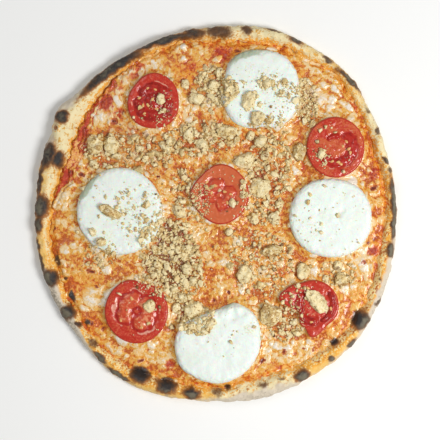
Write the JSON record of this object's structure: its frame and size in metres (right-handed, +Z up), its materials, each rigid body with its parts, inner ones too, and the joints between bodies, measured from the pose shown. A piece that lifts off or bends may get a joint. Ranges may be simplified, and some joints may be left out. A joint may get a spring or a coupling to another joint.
{
  "type": "ricotta pizza",
  "caption": "Thin round baked pizza with a puffed, charred rim, tomato sauce, melted cheese, ricotta rounds, tomato slices and chopped walnuts, served as a meal.",
  "frame": {"origin": "centre of the underside, on the surface that the pizza rests on", "axes": "+Z up out of the toppings, +X to the right and +Y to the top as seen from straight above"},
  "size_m": [0.2993, 0.3125, 0.0214],
  "materials": {
    "dough": "baked dough, matt, charred in spots",
    "sauce": "cooked tomato, moist",
    "cheese": "melted, oily, browned in spots",
    "ricotta": "smooth moist curd",
    "tomato": "wet cut flesh",
    "walnut": "broken nut, matt"
  },
  "bodies": {
    "root": {"crust": "dough", "tomato_sauce": "sauce", "melted_cheese": "cheese", "ricotta_1": "ricotta", "ricotta_2": "ricotta", "ricotta_3": "ricotta", "ricotta_4": "ricotta", "tomato_1": "tomato", "tomato_2": "tomato", "tomato_3": "tomato", "tomato_4": "tomato", "tomato_5": "tomato", "walnut_01": "walnut", "walnut_02": "walnut", "walnut_03": "walnut", "walnut_04": "walnut", "walnut_05": "walnut", "walnut_06": "walnut", "walnut_07": "walnut", "walnut_08": "walnut", "walnut_09": "walnut", "walnut_10": "walnut", "walnut_11": "walnut", "walnut_12": "walnut", "walnut_13": "walnut", "walnut_14": "walnut", "walnut_15": "walnut", "walnut_16": "walnut", "walnut_17": "walnut", "walnut_18": "walnut"}
  },
  "joints": []
}
